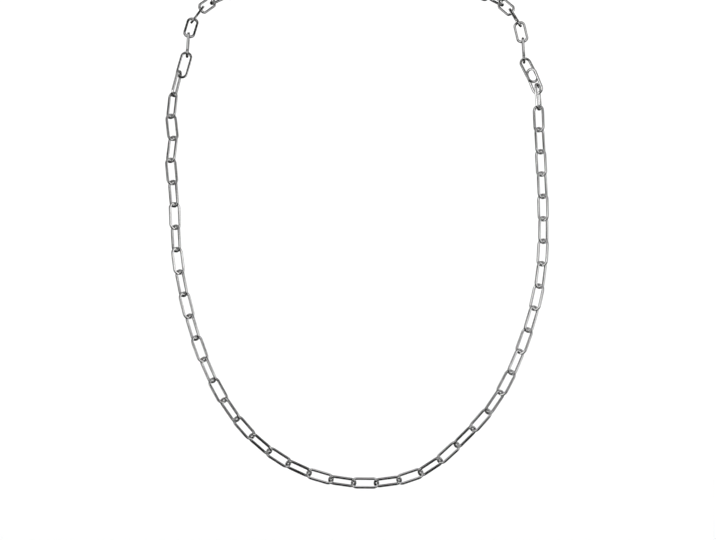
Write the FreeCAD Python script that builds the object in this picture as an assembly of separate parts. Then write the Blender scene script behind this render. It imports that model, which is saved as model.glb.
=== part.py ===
import FreeCAD, Part
import math
import os

from FreeCAD import Vector

# Paperclip chain in polished silver: a necklace of long oval wire links, held in the shape that it
# has when it is worn. It is one closed loop: the front hangs on the chest in a U, goes over both
# shoulders, and runs round the nape to a small plain clasp.
# Millimetres. +X is to the right seen from the front, +Y is back towards the nape, +Z is up.
# The origin is the middle of the clasp's neck side, where the chain lies on the nape.

# A link: round wire bent to an oval with straight sides and soldered shut.
WIRE = 0.70
LINK_LONG = 8.05
LINK_WIDE = 3.50

# From one joint to the next in a chain that hangs a little loose.
PITCH = 6.45

# The clasp: a flat rounded ring that takes one end link, and a small eye for the other.
CLASP_THICK = 1.30
RING_LONG = 7.40
RING_WIDE = 4.60
RING_WALL = 1.10
RING_EDGE = 0.50
EYE_WIRE = 0.90
EYE_HOLE = 1.60
EYE_SUNK = 0.60
HOOK_PLAY = 0.24

# The front hangs from a line across the shoulders, in front of the nape and below it. It is set out
# upright, on a chest that bulges forward going down, less and less, and then slopes forward as a
# whole about that line.
FRONT_TOP = Vector(0.0, -41.4, -8.6)
FRONT_SLOPE = 18.0
CHEST_DROP = 124.0
CHEST_LEAN_TOP = 18.0
CHEST_LEAN_LOW = 5.0

# The front's line through its even links, from the left shoulder round to the right one.
# Columns: across, down from the front's top.
FRONT_LINE = (
    (-52.7, 11.3),
    (-53.3, 17.6),
    (-52.6, 23.5),
    (-53.3, 29.8),
    (-52.7, 35.8),
    (-51.4, 54.9),
    (-47.6, 73.7),
    (-40.7, 91.9),
    (-29.6, 107.3),
    (-12.9, 117.6),
    (5.8, 120.0),
    (18.4, 116.8),
    (28.3, 108.9),
    (37.1, 99.5),
    (46.1, 82.6),
    (51.4, 64.4),
    (52.6, 45.9),
    (51.9, 26.9),
    (51.4, 15.0),
)
FRONT_LINKS = 42

# How far links lean out of the chest's surface, one with its outer side forward and the next with
# its inner side forward, in degrees. Columns: first link, outer side forward, inner side forward.
FRONT_LEAN = (
    (0, 27, 44),
    (14, 37, 39),
    (29, 30, 38),
)

# The slack links at the shoulders, from the bottom up, each set by its middle from the front's top
# and set out upright like the front. Columns: across, back, down, top leans right, top leans back,
# turned about its length (angles in degrees).
LEFT_TOP_LINKS = (
    (-51.82, -2.86, 8.22, 14, 14, -68),
    (-49.72, -0.86, 2.98, 15, 17, 0),
)
RIGHT_TOP_LINKS = (
    (51.35, -3.87, 11.92, -4, 12, -68),
    (50.38, -2.19, 7.55, -21, 18, 25),
    (48.91, -1.05, 4.48, -26, 17, -22),
)

# The nape stretch climbs over each shoulder from the top slack link and then runs level: the higher
# the power, the sooner it is level.
SHOULDER_PLAY = 0.10
CLIMB_POWER = 5

# How its links stand to the neck, from the shoulder to the clasp, turned about their length
# (degrees).
NAPE_TURNS = (2, -75, 36, -36, 36, -36, 36, -36, 36, -36, 72)

LINK_LINE_LONG = LINK_LONG - WIRE
END_RADIUS = (LINK_WIDE - WIRE) / 2
FORWARD = Vector(0, -1, 0)

# The clasp hangs on two joints, as the links do. Each wall that a link hooks lies this far outside
# its joint.
WALL_OUTSIDE = WIRE / 2 + HOOK_PLAY - (LINK_LINE_LONG - PITCH) / 2
CLASP_SPAN = EYE_HOLE + EYE_WIRE + RING_LONG - RING_WALL - EYE_SUNK - 2 * WALL_OUTSIDE
CLASP_MIDDLE = Vector(0, CLASP_THICK / 2, 0)

# How finely paths are sampled, how far a shared pitch may lie from the usual one, how often its
# range is halved, and the thickness below which an edge counts as flat.
SAMPLES = 4000
PITCH_RANGE = 1.2
HALVINGS = 40
FLAT = 1e-6


def oval_wire(long, wide, middle):
    """A flat oval with straight sides: its length along X, lying in the XZ plane."""
    radius = wide / 2
    side = long / 2 - radius
    right = middle + Vector(side, 0, 0)
    left = middle - Vector(side, 0, 0)
    top = Vector(0, 0, radius)
    tip = Vector(radius, 0, 0)
    edges = (
        Part.LineSegment(left - top, right - top),
        Part.Arc(right - top, right + tip, right + top),
        Part.LineSegment(right + top, left + top),
        Part.Arc(left + top, left - tip, left - top),
    )
    return Part.Wire([edge.toShape() for edge in edges])


def link_solid():
    """One link at the origin: its length along X and its width along Z."""
    line = oval_wire(LINK_LINE_LONG, 2 * END_RADIUS, Vector(0, 0, 0))
    start = Vector(END_RADIUS - LINK_LINE_LONG / 2, 0, -END_RADIUS)
    section = Part.Wire(Part.makeCircle(WIRE / 2, start, Vector(1, 0, 0)))
    return line.makePipeShell([section], True, False)


def clasp_solid():
    """The clasp, flat against the nape: its ring on the right and its eye on the left."""
    ring_right = CLASP_SPAN / 2 + WALL_OUTSIDE + RING_WALL
    ring_middle = Vector(ring_right - RING_LONG / 2, 0, 0)
    outline = Part.Face(oval_wire(RING_LONG, RING_WIDE, ring_middle))
    ring = outline.extrude(Vector(0, CLASP_THICK, 0))
    hole_long = RING_LONG - 2 * RING_WALL
    hole_wide = RING_WIDE - 2 * RING_WALL
    hole = Part.Face(oval_wire(hole_long, hole_wide, ring_middle)).extrude(Vector(0, CLASP_THICK, 0))
    ring = ring.cut(hole)
    rims = [edge for edge in ring.Edges if edge.BoundBox.YLength < FLAT]
    ring = ring.makeFillet(RING_EDGE, rims)
    eye_left = -CLASP_SPAN / 2 - WALL_OUTSIDE
    eye_middle = Vector(eye_left + EYE_HOLE / 2, CLASP_THICK / 2, 0)
    eye = Part.makeTorus((EYE_HOLE + EYE_WIRE) / 2, EYE_WIRE / 2, eye_middle, Vector(0, 1, 0))
    return ring.fuse(eye).removeSplitter().Solids[0]


def sloped(vector):
    """A vector of the upright front, turned with it to its slope."""
    return FreeCAD.Rotation(Vector(1, 0, 0), -FRONT_SLOPE).multVec(vector)


def chest_point(across, down):
    """A point on the chest's surface."""
    top = math.tan(math.radians(CHEST_LEAN_TOP))
    low = math.tan(math.radians(CHEST_LEAN_LOW))
    forward = top * down - (top - low) * down ** 2 / (2 * CHEST_DROP)
    return FRONT_TOP + sloped(Vector(across, -forward, -down))


def front_path():
    """Points close together along the front's line."""
    curve = Part.BSplineCurve()
    curve.interpolate([chest_point(across, down) for across, down in FRONT_LINE])
    step = (curve.LastParameter - curve.FirstParameter) / SAMPLES
    return [curve.value(curve.FirstParameter + n * step) for n in range(SAMPLES + 1)]


def nape_path(shoulder):
    """Points close together from a shoulder round the neck to the clasp: a quarter of an oval
    seen from above, which first climbs steeply and then runs level."""
    side = math.copysign(1, shoulder.x)
    hook = side * CLASP_SPAN / 2
    points = []
    for n in range(SAMPLES + 1):
        angle = math.pi / 2 * n / SAMPLES
        across = hook + (shoulder.x - hook) * math.cos(angle)
        back = shoulder.y + (CLASP_MIDDLE.y - shoulder.y) * math.sin(angle)
        up = shoulder.z * (1 - math.sin(angle)) ** CLIMB_POWER
        points.append(Vector(across, back, up))
    return points


def walk(path, pitch):
    """Joints one pitch apart, straight from one to the next, as far along a path as they go."""
    joints = [path[0]]
    for before, after in zip(path, path[1:]):
        reach = after.distanceToPoint(joints[-1])
        if reach >= pitch:
            short = before.distanceToPoint(joints[-1])
            part = (pitch - short) / (reach - short)
            joints.append(before + (after - before) * part)
    return joints


def even_joints(path, links):
    """Joints that share a path evenly between a number of links, with their pitch."""
    low = PITCH - PITCH_RANGE
    high = PITCH + PITCH_RANGE
    for _ in range(HALVINGS):
        pitch = (low + high) / 2
        if len(walk(path, pitch)) > links:
            low = pitch
        else:
            high = pitch
    return walk(path, low)[:links + 1], low


def place(solid, middle, along, facing, turn):
    """A link put with its length along a direction. At turn 0 it lies flat towards the facing
    direction, and it turns about its length from there."""
    length = Vector(along).normalize()
    outward = (facing - length * facing.dot(length)).normalize()
    beside = length.cross(outward)
    angle = math.radians(turn)
    width = beside * math.cos(angle) + outward * math.sin(angle)
    flat = width.cross(length)
    matrix = FreeCAD.Matrix(
        length.x, flat.x, width.x, middle.x,
        length.y, flat.y, width.y, middle.y,
        length.z, flat.z, width.z, middle.z,
        0, 0, 0, 1,
    )
    link = solid.copy()
    link.Placement = FreeCAD.Placement(matrix)
    return link


def front_turn(link):
    """How far a link of the front turns out of the chest's surface, and which way."""
    outer, inner = [row[1:] for row in FRONT_LEAN if row[0] <= link][-1]
    return outer if link % 2 else -inner


def front_links(solid):
    """The even links of the front."""
    joints, pitch = even_joints(front_path(), FRONT_LINKS)
    print("front pitch", round(pitch, 3))
    links = []
    for n, (start, end) in enumerate(zip(joints, joints[1:])):
        links.append(place(solid, (start + end) / 2, end - start, sloped(FORWARD), front_turn(n)))
    return links


def slack_pose(row):
    """The middle of a slack link and the direction of its length, upwards."""
    across, back, down, right, recline, turn = row
    right = math.radians(right)
    recline = math.radians(recline)
    along = Vector(0, math.sin(recline), math.cos(recline)) * math.cos(right)
    along.x = math.sin(right)
    return FRONT_TOP + sloped(Vector(across, back, -down)), sloped(along)


def slack_links(solid, rows):
    """The slack links at one shoulder."""
    return [place(solid, *slack_pose(row), sloped(FORWARD), row[-1]) for row in rows]


def nape_links(solid, top_row):
    """The links from the top slack link at one shoulder to the clasp."""
    middle, along = slack_pose(top_row)
    shoulder = middle + along * (PITCH / 2) + Vector(0, -SHOULDER_PLAY, 0)
    joints, pitch = even_joints(nape_path(shoulder), len(NAPE_TURNS))
    print("nape pitch", round(pitch, 3))
    side = math.copysign(1, shoulder.x)
    links = []
    for start, end, turn in zip(joints, joints[1:], NAPE_TURNS):
        middle = (start + end) / 2
        facing = Vector(middle.x, middle.y - FRONT_TOP.y, 0)
        links.append(place(solid, middle, end - start, facing, side * turn))
    return links


def save(name, solids):
    """Write one node's file."""
    shape = solids[0] if len(solids) == 1 else Part.makeCompound(solids)
    shape.exportStep(os.path.join("parts", name + ".step"))


os.makedirs("parts", exist_ok=True)
link = link_solid()
left_top = slack_links(link, LEFT_TOP_LINKS)
right_top = slack_links(link, RIGHT_TOP_LINKS)
left_nape = nape_links(link, LEFT_TOP_LINKS[-1])
right_nape = nape_links(link, RIGHT_TOP_LINKS[-1])
save("front_chain", left_top + front_links(link) + right_top)
save("nape_chain", left_nape + right_nape)
save("clasp", [clasp_solid()])
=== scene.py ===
import math

import bmesh
import bpy
import numpy as np
from bpy.props import (
    FloatProperty,
    FloatVectorProperty,
    IntProperty,
    PointerProperty,
    StringProperty,
)
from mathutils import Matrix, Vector


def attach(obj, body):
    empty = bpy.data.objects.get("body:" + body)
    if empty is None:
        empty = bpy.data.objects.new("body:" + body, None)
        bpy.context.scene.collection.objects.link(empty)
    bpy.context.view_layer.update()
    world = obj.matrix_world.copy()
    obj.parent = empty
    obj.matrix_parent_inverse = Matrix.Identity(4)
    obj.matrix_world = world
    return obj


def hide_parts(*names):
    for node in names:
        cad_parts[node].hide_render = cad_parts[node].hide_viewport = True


bl_info = {
    "name": "Paperclip chain in polished silver",
    "version": (1, 0, 0),
    "blender": (4, 5, 0),
    "location": "3D View > Sidebar > Paperclip Chain",
    "description": "Dresses a necklace of long oval wire links, and sets its stage and camera",
    "category": "Object",
}

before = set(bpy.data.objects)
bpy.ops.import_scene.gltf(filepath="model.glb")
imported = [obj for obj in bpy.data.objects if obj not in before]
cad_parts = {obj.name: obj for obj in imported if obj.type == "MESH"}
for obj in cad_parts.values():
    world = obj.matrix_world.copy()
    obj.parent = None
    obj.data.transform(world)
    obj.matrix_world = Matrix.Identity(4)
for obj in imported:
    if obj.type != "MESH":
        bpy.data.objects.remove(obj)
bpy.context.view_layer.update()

MM = 0.001
BODY = "root"
LINKS_TREE = "links on their places"

CAD_WELD = 0.001 * MM      # joins the CAD mesh's loose triangles
BEND_SHARE = 0.49995       # radius of a link's bends, as a share of the distance of its sides

# The silver's patterns
SEAM_SIDE = 0.2 * MM       # the seam lies further than this to one side of a link's middle line
MARK_SIZE = 1.6 * MM       # handling marks
MARK_EDGES = (0.35, 0.75)  # noise under the first is clean silver, over the second a full mark
MARK_ROUGHNESS = 0.09      # what a full mark adds to the roughness
DARKEST_LINK = 0.93        # as a share of the brightest link
LINE_HEIGHT = 0.35         # of the polishing lines, as a share of the solder seam's
RELIEF_HEIGHT = 0.01 * MM  # of the solder seam
RELIEF_STRENGTH = 0.20

# The stage, in metres where nothing else is said
BOARD_GRAIN = 40 * MM      # unevenness of the floor's paint
BOARD_ROUGHNESS = (0.85, 0.95)
FLOOR_HALF = 6.0           # half the side of the floor
CHAIN_MIDDLE = (0.0, -0.07, -0.06)
SENSOR_WIDTH = 36.0        # millimetres


def linear(hex_colour):
    """A colour written as sRGB hex, as linear red, green and blue."""
    channels = [int(hex_colour[n:n + 2], 16) / 255 for n in (1, 3, 5)]
    return [c / 12.92 if c <= 0.04045 else ((c + 0.055) / 1.055) ** 2.4 for c in channels]


def add_node(tree, kind, settings=None, inputs=None):
    """A node in a tree, with its properties; an input takes a value or another node's output."""
    node = tree.nodes.new(kind)
    for name, value in (settings or {}).items():
        setattr(node, name, value)
    for name, source in (inputs or {}).items():
        if isinstance(source, bpy.types.NodeSocket):
            tree.links.new(source, node.inputs[name])
        else:
            node.inputs[name].default_value = source
    return node


# Sizes and colours that a user would change


class LinkSizes(bpy.types.PropertyGroup):
    wire: FloatProperty(
        name="Wire", description="Diameter of the round wire",
        default=0.70 * MM, min=0.3 * MM, max=1.2 * MM, unit="LENGTH", precision=5)
    long: FloatProperty(
        name="Length", description="Outside length of a link",
        default=8.05 * MM, min=4 * MM, max=20 * MM, unit="LENGTH", precision=5)
    wide: FloatProperty(
        name="Width", description="Outside width of a link",
        default=3.50 * MM, min=2 * MM, max=10 * MM, unit="LENGTH", precision=5)
    flats: FloatProperty(
        name="Across flats", description="Distance between two flattened sides, as a share of the wire",
        default=0.97, min=0.7, max=1.0, subtype="FACTOR")
    rounding: FloatProperty(
        name="Edge radius", description="Radius between flattened sides, as a share of the wire",
        default=0.32, min=0.1, max=0.5, subtype="FACTOR")
    edge_steps: IntProperty(
        name="Steps in an edge", description="Steps in each of the wire's four round edges",
        default=4, min=2, max=12)
    bend_steps: IntProperty(
        name="Steps in a bend", description="Steps in each quarter of a link's round ends",
        default=9, min=2, max=24)
    seed: IntProperty(
        name="Seed", description="Which small differences the links get", default=7)


class SilverFinish(bpy.types.PropertyGroup):
    metal: FloatVectorProperty(
        name="Silver", description="Reflection colour of the polished metal",
        default=linear("#E4E4E4"), size=3, min=0, max=1, subtype="COLOR")
    # Partly painted shade: this darker colour goes on the link ends where links meet and rub, and on
    # the solder seam.
    worn_and_shaded: FloatVectorProperty(
        name="Rubbed ends", description="Reflection colour where links rub and air has dulled them",
        default=linear("#BDBCBA"), size=3, min=0, max=1, subtype="COLOR")
    gloss: FloatProperty(
        name="Roughness", description="Roughness of the polished wire",
        default=0.06, min=0.0, max=1.0, subtype="FACTOR")
    rubbed_and_shaded: FloatProperty(
        name="Rubbed roughness", description="Roughness where links rub",
        default=0.28, min=0.0, max=1.0, subtype="FACTOR")
    scratch: FloatProperty(
        name="Scratch spacing", description="Distance between the polishing lines",
        default=0.08 * MM, min=0.01 * MM, max=1 * MM, unit="LENGTH", precision=6)
    seam: FloatProperty(
        name="Solder seam", description="Width of the soldered joint on a link's side",
        default=0.16 * MM, min=0.02 * MM, max=1 * MM, unit="LENGTH", precision=6)


class StageSettings(bpy.types.PropertyGroup):
    floor: FloatVectorProperty(
        name="Floor", description="Colour of the floor",
        default=linear("#F6F6F6"), size=3, min=0, max=1, subtype="COLOR")
    room: FloatVectorProperty(
        name="Room", description="Colour of the dim studio round the lamps",
        default=linear("#262626"), size=3, min=0, max=1, subtype="COLOR")
    floor_height: FloatProperty(
        name="Floor height", description="Height of the floor below the nape",
        default=-0.170, unit="LENGTH")
    elevation: FloatProperty(
        name="Camera elevation", description="How far the camera looks down on the chain",
        default=math.radians(23.0), subtype="ANGLE")
    distance: FloatProperty(
        name="Camera distance", description="From the camera to the middle of the picture",
        default=1.1288, min=0.2, unit="LENGTH")
    aim: FloatVectorProperty(
        name="Camera aim", description="The point in the middle of the picture",
        default=(0.0, -0.07346, -0.06196), size=3, subtype="TRANSLATION")
    lens: FloatProperty(
        name="Lens", description="Focal length in millimetres", default=200.0, min=20.0)


# Silver


def silver_material(finish):
    """Sterling silver drawn to round wire, soldered and tumble polished: a bright mirror with very
    fine polishing lines, a hair-thin seam on each link's side, and duller ends where links rub,
    which are darkened partly by wear and partly as painted shade where the links meet."""
    material = bpy.data.materials.new("sterling silver, tumble polished")
    material.use_nodes = True
    tree = material.node_tree
    tree.nodes.clear()

    place = add_node(tree, "ShaderNodeTexCoord").outputs["Object"]
    in_link = add_node(tree, "ShaderNodeAttribute", {"attribute_name": "place_in_link"})
    tone = add_node(tree, "ShaderNodeAttribute", {"attribute_name": "link_tone"})
    rub_and_shade = add_node(tree, "ShaderNodeAttribute", {"attribute_name": "rubbed_and_shaded"})
    parts = add_node(tree, "ShaderNodeSeparateXYZ", inputs={0: in_link.outputs["Vector"]})

    # The solder seam crosses one straight side at its middle.
    from_seam = add_node(tree, "ShaderNodeMath", {"operation": "ABSOLUTE"},
                         {0: parts.outputs["X"]})
    seam = add_node(tree, "ShaderNodeMapRange", {"interpolation_type": "SMOOTHSTEP"},
                    {"Value": from_seam.outputs[0], "From Min": 0.0, "From Max": finish.seam / 2,
                     "To Min": 1.0, "To Max": 0.0})
    one_side = add_node(tree, "ShaderNodeMath", {"operation": "GREATER_THAN"},
                        {0: parts.outputs["Y"], 1: SEAM_SIDE})
    seam = add_node(tree, "ShaderNodeMath", {"operation": "MULTIPLY"},
                    {0: seam.outputs[0], 1: one_side.outputs[0]})

    # Handling marks are patches a millimetre or two across.
    patches = add_node(tree, "ShaderNodeTexNoise",
                       inputs={"Vector": place, "Scale": 1 / MARK_SIZE, "Detail": 3.0,
                               "Roughness": 0.55})
    patches = add_node(tree, "ShaderNodeMapRange",
                       inputs={"Value": patches.outputs["Fac"], "From Min": MARK_EDGES[0],
                               "From Max": MARK_EDGES[1], "To Min": 0.0, "To Max": 1.0})
    # Polishing lines really lie a few hundredths of a millimetre apart, and are drawn as coarse
    # as the chosen spacing so that they show up close.
    lines = add_node(tree, "ShaderNodeTexNoise",
                     inputs={"Vector": place, "Scale": 1 / finish.scratch, "Detail": 2.0,
                             "Roughness": 0.7})

    # Painted shade and wear: where handling-mark patches fall on the link ends that the next link rubs,
    # the colour darkens towards the worn colour, as shade between the links as well as rub wear; the
    # seam darkens too.
    dull_and_shade = add_node(tree, "ShaderNodeMath", {"operation": "MULTIPLY", "use_clamp": True},
                    {0: rub_and_shade.outputs["Fac"], 1: patches.outputs[0]})
    dull_and_shade = add_node(tree, "ShaderNodeMath", {"operation": "MAXIMUM", "use_clamp": True},
                    {0: dull_and_shade.outputs[0], 1: seam.outputs[0]})
    colour = add_node(tree, "ShaderNodeMix", {"data_type": "RGBA"},
                      {"Factor": dull_and_shade.outputs[0], "A": (*finish.metal, 1.0),
                       "B": (*finish.worn_and_shaded, 1.0)})
    # Each link came out of the drum a little brighter or darker than the next.
    shade = add_node(tree, "ShaderNodeMapRange",
                     inputs={"Value": tone.outputs["Fac"], "From Min": 0.0, "From Max": 1.0,
                             "To Min": DARKEST_LINK, "To Max": 1.0})
    colour = add_node(tree, "ShaderNodeVectorMath", {"operation": "SCALE"},
                      {0: colour.outputs["Result"], "Scale": shade.outputs[0]})
    rough = add_node(tree, "ShaderNodeMapRange",
                     inputs={"Value": dull_and_shade.outputs[0], "From Min": 0.0, "From Max": 1.0,
                             "To Min": finish.gloss, "To Max": finish.rubbed_and_shaded})
    rough = add_node(tree, "ShaderNodeMath", {"operation": "MULTIPLY_ADD"},
                     {0: patches.outputs[0], 1: MARK_ROUGHNESS, 2: rough.outputs[0]})
    height = add_node(tree, "ShaderNodeMath", {"operation": "MULTIPLY_ADD"},
                      {0: lines.outputs["Fac"], 1: LINE_HEIGHT, 2: seam.outputs[0]})
    relief = add_node(tree, "ShaderNodeBump",
                      inputs={"Height": height.outputs[0], "Strength": RELIEF_STRENGTH,
                              "Distance": RELIEF_HEIGHT})
    shader = add_node(tree, "ShaderNodeBsdfPrincipled",
                      inputs={"Base Color": colour.outputs[0], "Metallic": 1.0,
                              "Roughness": rough.outputs[0], "Normal": relief.outputs[0]})
    add_node(tree, "ShaderNodeOutputMaterial", inputs={"Surface": shader.outputs[0]})
    return material


# Links


def link_places(node):
    """The links of a CAD chain: each one's middle, the way of its length and its flat side."""
    copy = bmesh.new()
    copy.from_mesh(node.data)
    bmesh.ops.remove_doubles(copy, verts=copy.verts, dist=CAD_WELD)
    bmesh.ops.triangulate(copy, faces=copy.faces)
    copy.verts.ensure_lookup_table()
    seen = set()
    places = []
    for first in copy.verts:
        if first.index in seen:
            continue
        seen.add(first.index)
        reached = [first]
        for vert in reached:
            for edge in vert.link_edges:
                other = edge.other_vert(vert)
                if other.index not in seen:
                    seen.add(other.index)
                    reached.append(other)
        faces = {face for vert in reached for face in vert.link_faces}
        middles = np.array([face.calc_center_median() for face in faces])
        areas = np.array([face.calc_area() for face in faces])
        mean = (middles * areas[:, None]).sum(0) / areas.sum()
        spread = ((middles - mean).T * areas) @ (middles - mean)
        axes = np.linalg.eigh(spread)[1]
        length = axes[:, 2]
        flat = axes[:, 0]
        points = np.array([vert.co for vert in reached])
        along = points @ axes
        middle = axes @ ((along.min(0) + along.max(0)) / 2)
        places.append((middle, length, flat))
    copy.free()
    return places


def links_tree():
    """A node tree that bends one link from wire and puts it at every point it is given."""
    tree = bpy.data.node_groups.new(LINKS_TREE, "GeometryNodeTree")
    for name, kind in (
        ("Places", "Geometry"), ("Wire", "Float"), ("Length", "Float"), ("Width", "Float"),
        ("Flats", "Float"), ("Rounding", "Float"), ("Edge steps", "Int"), ("Bend steps", "Int"),
        ("Seed", "Int"), ("Silver", "Material"),
    ):
        tree.interface.new_socket(name=name, in_out="INPUT", socket_type="NodeSocket" + kind)
    tree.interface.new_socket(name="Chain", in_out="OUTPUT", socket_type="NodeSocketGeometry")
    given = add_node(tree, "NodeGroupInput").outputs

    # The line of the wire's middle is an oval with straight sides.
    line_long = add_node(tree, "ShaderNodeMath", {"operation": "SUBTRACT"},
                         {0: given["Length"], 1: given["Wire"]}).outputs[0]
    line_wide = add_node(tree, "ShaderNodeMath", {"operation": "SUBTRACT"},
                         {0: given["Width"], 1: given["Wire"]}).outputs[0]
    # A bend a hair under half the width leaves the fillets room, so no side gets lost.
    bend = add_node(tree, "ShaderNodeMath", {"operation": "MULTIPLY"},
                    {0: line_wide, 1: BEND_SHARE})
    box = add_node(tree, "GeometryNodeCurvePrimitiveQuadrilateral",
                   inputs={"Width": line_long, "Height": line_wide})
    oval = add_node(tree, "GeometryNodeFilletCurve", {"mode": "POLY"},
                    {"Curve": box.outputs[0], "Count": given["Bend steps"],
                     "Radius": bend.outputs[0], "Limit Radius": True})
    # The wire's section is round with slightly flattened sides, as rolled wire has.
    across_flats = add_node(tree, "ShaderNodeMath", {"operation": "MULTIPLY"},
                            {0: given["Wire"], 1: given["Flats"]}).outputs[0]
    edge = add_node(tree, "ShaderNodeMath", {"operation": "MULTIPLY"},
                    {0: given["Wire"], 1: given["Rounding"]})
    block = add_node(tree, "GeometryNodeCurvePrimitiveQuadrilateral",
                     inputs={"Width": across_flats, "Height": across_flats})
    section = add_node(tree, "GeometryNodeFilletCurve", {"mode": "POLY"},
                       {"Curve": block.outputs[0], "Count": given["Edge steps"],
                        "Radius": edge.outputs[0], "Limit Radius": True})
    wire = add_node(tree, "GeometryNodeCurveToMesh",
                    inputs={"Curve": oval.outputs[0], "Profile Curve": section.outputs[0]})

    # Each point keeps its place in the link, and how much the next link rubs and shades it: not on the
    # straight sides, most on the inside of the end bends, and less towards their outside. The silver
    # darkens these spots partly as rub wear and partly as painted shade where the links meet.
    here = add_node(tree, "GeometryNodeInputPosition").outputs[0]
    wire = add_node(tree, "GeometryNodeStoreNamedAttribute",
                    {"data_type": "FLOAT_VECTOR", "domain": "POINT"},
                    {"Geometry": wire.outputs[0], "Name": "place_in_link", "Value": here})
    parts = add_node(tree, "ShaderNodeSeparateXYZ", inputs={0: here})
    from_middle = add_node(tree, "ShaderNodeMath", {"operation": "ABSOLUTE"},
                           {0: parts.outputs["X"]}).outputs[0]
    outside = add_node(tree, "ShaderNodeMath", {"operation": "MULTIPLY"},
                       {0: given["Length"], 1: 0.5}).outputs[0]
    inside = add_node(tree, "ShaderNodeMath", {"operation": "SUBTRACT"},
                      {0: outside, 1: given["Wire"]}).outputs[0]
    rub_start = add_node(tree, "ShaderNodeMath", {"operation": "SUBTRACT"},
                         {0: inside, 1: given["Wire"]})
    rising = add_node(tree, "ShaderNodeMapRange",
                      inputs={"Value": from_middle, "From Min": rub_start.outputs[0],
                              "From Max": inside, "To Min": 0.0, "To Max": 1.0})
    falling = add_node(tree, "ShaderNodeMapRange",
                       inputs={"Value": from_middle, "From Min": inside,
                               "From Max": outside, "To Min": 1.0, "To Max": 0.0})
    rubbed_and_shaded = add_node(tree, "ShaderNodeMath", {"operation": "MULTIPLY"},
                      {0: rising.outputs[0], 1: falling.outputs[0]})
    wire = add_node(tree, "GeometryNodeStoreNamedAttribute",
                    {"data_type": "FLOAT", "domain": "POINT"},
                    {"Geometry": wire.outputs[0], "Name": "rubbed_and_shaded", "Value": rubbed_and_shaded.outputs[0]})
    smooth = add_node(tree, "GeometryNodeSetShadeSmooth", inputs={"Geometry": wire.outputs[0]})

    # Each link turns so that its length and its flat side lie as its point says.
    length = add_node(tree, "GeometryNodeInputNamedAttribute", {"data_type": "FLOAT_VECTOR"},
                      {"Name": "length_way"})
    flat = add_node(tree, "GeometryNodeInputNamedAttribute", {"data_type": "FLOAT_VECTOR"},
                    {"Name": "flat_way"})
    turn = add_node(tree, "FunctionNodeAxesToRotation",
                    {"primary_axis": "X", "secondary_axis": "Z"},
                    {"Primary Axis": length.outputs["Attribute"],
                     "Secondary Axis": flat.outputs["Attribute"]})
    chain = add_node(tree, "GeometryNodeInstanceOnPoints",
                     inputs={"Points": given["Places"], "Instance": smooth.outputs[0],
                             "Rotation": turn.outputs[0]})
    tone = add_node(tree, "FunctionNodeRandomValue", {"data_type": "FLOAT"},
                    {"Seed": given["Seed"]})
    tone_value = [out for out in tone.outputs if out.type == "VALUE" and out.enabled][0]
    chain = add_node(tree, "GeometryNodeStoreNamedAttribute",
                     {"data_type": "FLOAT", "domain": "INSTANCE"},
                     {"Geometry": chain.outputs[0], "Name": "link_tone", "Value": tone_value})
    chain = add_node(tree, "GeometryNodeRealizeInstances", inputs={"Geometry": chain.outputs[0]})
    chain = add_node(tree, "GeometryNodeSetMaterial",
                     inputs={"Geometry": chain.outputs[0], "Material": given["Silver"]})
    add_node(tree, "NodeGroupOutput", inputs={0: chain.outputs[0]})
    return tree


def places_object(name, places):
    """A mesh of one point for each link, with the ways of its length and its flat side."""
    mesh = bpy.data.meshes.new(name)
    mesh.from_pydata([middle for middle, _, _ in places], [], [])
    for column, attribute in ((1, "length_way"), (2, "flat_way")):
        data = mesh.attributes.new(attribute, "FLOAT_VECTOR", "POINT").data
        data.foreach_set("vector", np.array([row[column] for row in places]).ravel())
    places_at = bpy.data.objects.new(name, mesh)
    bpy.context.collection.objects.link(places_at)
    return places_at


def plain_mesh(holder, name):
    """The modified object as a plain mesh object, with faces outwards; the holder is removed."""
    bpy.context.view_layer.update()
    evaluated = holder.evaluated_get(bpy.context.evaluated_depsgraph_get())
    mesh = bpy.data.meshes.new_from_object(evaluated)
    holder.modifiers.clear()
    bpy.data.objects.remove(holder)
    mesh.name = name
    shape = bmesh.new()
    shape.from_mesh(mesh)
    bmesh.ops.recalc_face_normals(shape, faces=shape.faces)
    shape.to_mesh(mesh)
    shape.free()
    piece = bpy.data.objects.new(name, mesh)
    bpy.context.collection.objects.link(piece)
    return piece


def chain_piece(name, node_name, scene):
    """A chain of wire links in the places of a CAD chain's links."""
    sizes = scene.paperclip_links
    places = link_places(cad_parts[node_name])
    holder = places_object(name + " places", places)
    tree = bpy.data.node_groups.get(LINKS_TREE) or links_tree()
    modifier = holder.modifiers.new("Links", "NODES")
    modifier.node_group = tree
    inputs = {
        "Wire": sizes.wire,
        "Length": sizes.long,
        "Width": sizes.wide,
        "Flats": sizes.flats,
        "Rounding": sizes.rounding,
        "Edge steps": sizes.edge_steps,
        "Bend steps": sizes.bend_steps,
        "Seed": sizes.seed,
        "Silver": silver(scene),
    }
    for item in tree.interface.items_tree:
        if item.in_out == "INPUT" and item.name in inputs:
            modifier[item.identifier] = inputs[item.name]
    piece = plain_mesh(holder, name)
    if len(piece.data.polygons) < len(places):
        raise RuntimeError("no links came out of the node tree for " + name)
    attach(piece, BODY)
    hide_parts(node_name)
    return piece


def silver(scene):
    """The one silver of the whole chain, made when it is first asked for."""
    name = scene.paperclip_silver_name
    if name not in bpy.data.materials:
        scene.paperclip_silver_name = silver_material(scene.paperclip_finish).name
    return bpy.data.materials[scene.paperclip_silver_name]


# Operators


class PAPERCLIP_OT_front(bpy.types.Operator):
    """Make the front of the chain, the deep U on the chest"""

    bl_idname = "paperclip.front"
    bl_label = "Front chain"

    def execute(self, context):
        chain_piece("front_links", "front_chain", context.scene)
        return {"FINISHED"}


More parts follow.
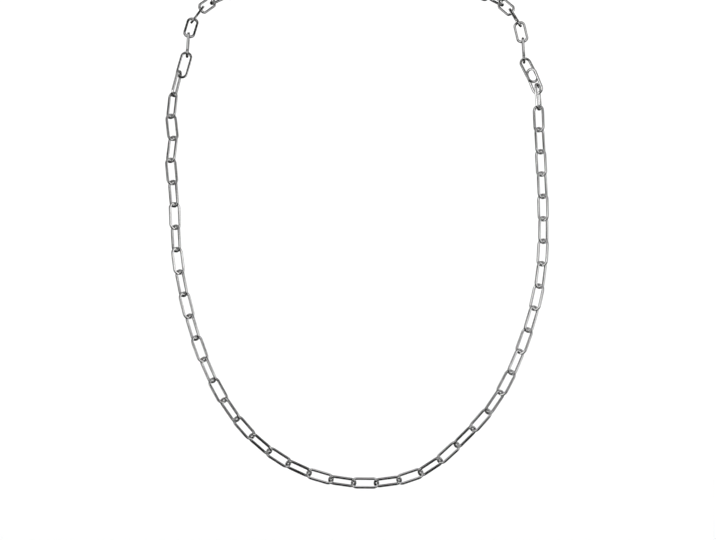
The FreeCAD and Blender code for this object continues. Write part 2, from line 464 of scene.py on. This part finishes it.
class PAPERCLIP_OT_nape(bpy.types.Operator):
    """Make the stretch that runs from both shoulders round the nape"""

    bl_idname = "paperclip.nape"
    bl_label = "Nape chain"

    def execute(self, context):
        chain_piece("nape_links", "nape_chain", context.scene)
        return {"FINISHED"}


class PAPERCLIP_OT_clasp(bpy.types.Operator):
    """Polish the clasp, whose shape comes from the CAD model"""

    bl_idname = "paperclip.clasp"
    bl_label = "Clasp"

    def execute(self, context):
        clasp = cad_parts["clasp"]
        clasp.data.materials.clear()
        clasp.data.materials.append(silver(context.scene))
        return {"FINISHED"}


class PAPERCLIP_OT_stage(bpy.types.Operator):
    """Set the floor, the soft lamps and the camera"""

    bl_idname = "paperclip.stage"
    bl_label = "Stage"

    def execute(self, context):
        stage = context.scene.paperclip_stage
        set_floor(stage)
        set_room(context.scene, stage)
        for lamp in LAMPS:
            set_lamp(*lamp)
        set_camera(context.scene, stage)
        return {"FINISHED"}


# Stage


def set_floor(stage):
    """A plain pale floor under the hanging chain: matt painted board, which scatters the light
    evenly and shows no gloss."""
    corners = [(x * FLOOR_HALF, y * FLOOR_HALF, stage.floor_height)
               for x, y in ((-1, -1), (1, -1), (1, 1), (-1, 1))]
    mesh = bpy.data.meshes.new("floor")
    mesh.from_pydata(corners, [], [(0, 1, 2, 3)])
    floor = bpy.data.objects.new("floor", mesh)
    bpy.context.collection.objects.link(floor)
    material = bpy.data.materials.new("matt white board")
    material.use_nodes = True
    tree = material.node_tree
    tree.nodes.clear()
    place = add_node(tree, "ShaderNodeTexCoord").outputs["Object"]
    grain = add_node(tree, "ShaderNodeTexNoise",
                     inputs={"Vector": place, "Scale": 1 / BOARD_GRAIN, "Detail": 2.0})
    rough = add_node(tree, "ShaderNodeMapRange",
                     inputs={"Value": grain.outputs["Fac"], "To Min": BOARD_ROUGHNESS[0],
                             "To Max": BOARD_ROUGHNESS[1]})
    shader = add_node(tree, "ShaderNodeBsdfPrincipled",
                      inputs={"Base Color": (*stage.floor, 1.0), "Roughness": rough.outputs[0]})
    add_node(tree, "ShaderNodeOutputMaterial", inputs={"Surface": shader.outputs[0]})
    mesh.materials.append(material)
    # The wires mirror the dim studio alone, so that their edges stand out from the pale floor.
    floor.visible_glossy = False


def set_room(scene, stage):
    """A dim even studio, which the wire's sides mirror as grey and black lines."""
    world = bpy.data.worlds.new("dim studio")
    world.use_nodes = True
    background = world.node_tree.nodes["Background"]
    background.inputs["Color"].default_value = (*stage.room, 1.0)
    background.inputs["Strength"].default_value = 1.0
    scene.world = world
    scene.view_settings.view_transform = "Standard"


# Soft lamps. Columns: name, place (m), what it points at (m), width (m), height (m), power (W),
# and whether the wires mirror it.
LAMPS = (
    ("floor lamp", (0.0, 0.90, 1.60), (0.0, 0.90, -0.17), 3.0, 3.0, 52.0, False),
    ("top softbox", (0.0, -0.1, 1.5), CHAIN_MIDDLE, 1.2, 1.0, 2.6, True),
    ("right softbox", (1.1, -0.2, 0.0), CHAIN_MIDDLE, 1.0, 1.2, 2.6, True),
    ("left front softbox", (-0.9, -1.0, 0.3), CHAIN_MIDDLE, 0.8, 1.0, 4.5, True),
    ("right front softbox", (0.9, -1.0, 0.3), CHAIN_MIDDLE, 0.8, 1.0, 3.9, True),
    ("left high softbox", (-0.9, -0.3, 1.0), CHAIN_MIDDLE, 0.9, 0.9, 1.2, True),
    ("right high softbox", (0.9, -0.3, 1.0), CHAIN_MIDDLE, 0.9, 0.9, 0.7, True),
    ("back softbox", (0.0, 1.5, 0.3), CHAIN_MIDDLE, 1.4, 0.8, 2.8, True),
    ("left back softbox", (-1.0, 0.8, 0.2), CHAIN_MIDDLE, 1.0, 1.0, 1.7, True),
    ("right back softbox", (1.0, 0.8, 0.2), CHAIN_MIDDLE, 1.0, 1.0, 1.4, True),
)


def set_lamp(name, place, target, width, height, power, mirrored):
    """One soft lamp that points at a target."""
    data = bpy.data.lights.new(name, "AREA")
    data.shape = "RECTANGLE"
    data.size = width
    data.size_y = height
    data.energy = power
    lamp = bpy.data.objects.new(name, data)
    lamp.location = place
    way = Vector(target) - Vector(place)
    lamp.rotation_euler = way.to_track_quat("-Z", "Y").to_euler()
    lamp.visible_glossy = mirrored
    bpy.context.collection.objects.link(lamp)


def set_camera(scene, stage):
    """The camera straight in front, looking down square to the front of the chain."""
    data = bpy.data.cameras.new("camera")
    data.lens = stage.lens
    data.sensor_width = SENSOR_WIDTH
    camera = bpy.data.objects.new("camera", data)
    back = Vector((0.0, -math.cos(stage.elevation), math.sin(stage.elevation)))
    camera.location = Vector(stage.aim) + back * stage.distance
    camera.rotation_euler = (-back).to_track_quat("-Z", "Y").to_euler()
    bpy.context.collection.objects.link(camera)
    scene.camera = camera


# Panel


class PAPERCLIP_PT_panel(bpy.types.Panel):
    bl_label = "Paperclip Chain"
    bl_idname = "PAPERCLIP_PT_panel"
    bl_space_type = "VIEW_3D"
    bl_region_type = "UI"
    bl_category = "Paperclip Chain"

    def draw(self, context):
        layout = self.layout
        for group in (
            context.scene.paperclip_links,
            context.scene.paperclip_finish,
            context.scene.paperclip_stage,
        ):
            box = layout.box()
            for name in group.__annotations__:
                box.prop(group, name)
        for operator in OPERATORS:
            layout.operator(operator.bl_idname)


OPERATORS = (PAPERCLIP_OT_front, PAPERCLIP_OT_nape, PAPERCLIP_OT_clasp, PAPERCLIP_OT_stage)
CLASSES = (LinkSizes, SilverFinish, StageSettings, *OPERATORS, PAPERCLIP_PT_panel)


def register():
    for cls in CLASSES:
        bpy.utils.register_class(cls)
    bpy.types.Scene.paperclip_links = PointerProperty(type=LinkSizes)
    bpy.types.Scene.paperclip_finish = PointerProperty(type=SilverFinish)
    bpy.types.Scene.paperclip_stage = PointerProperty(type=StageSettings)
    bpy.types.Scene.paperclip_silver_name = StringProperty(
        name="Silver", description="The silver material that the pieces share")


def unregister():
    del bpy.types.Scene.paperclip_silver_name
    del bpy.types.Scene.paperclip_stage
    del bpy.types.Scene.paperclip_finish
    del bpy.types.Scene.paperclip_links
    for cls in reversed(CLASSES):
        bpy.utils.unregister_class(cls)


def main():
    register()
    bpy.ops.paperclip.front()
    bpy.ops.paperclip.nape()
    bpy.ops.paperclip.clasp()
    bpy.ops.paperclip.stage()


if __name__ == "__main__":
    main()
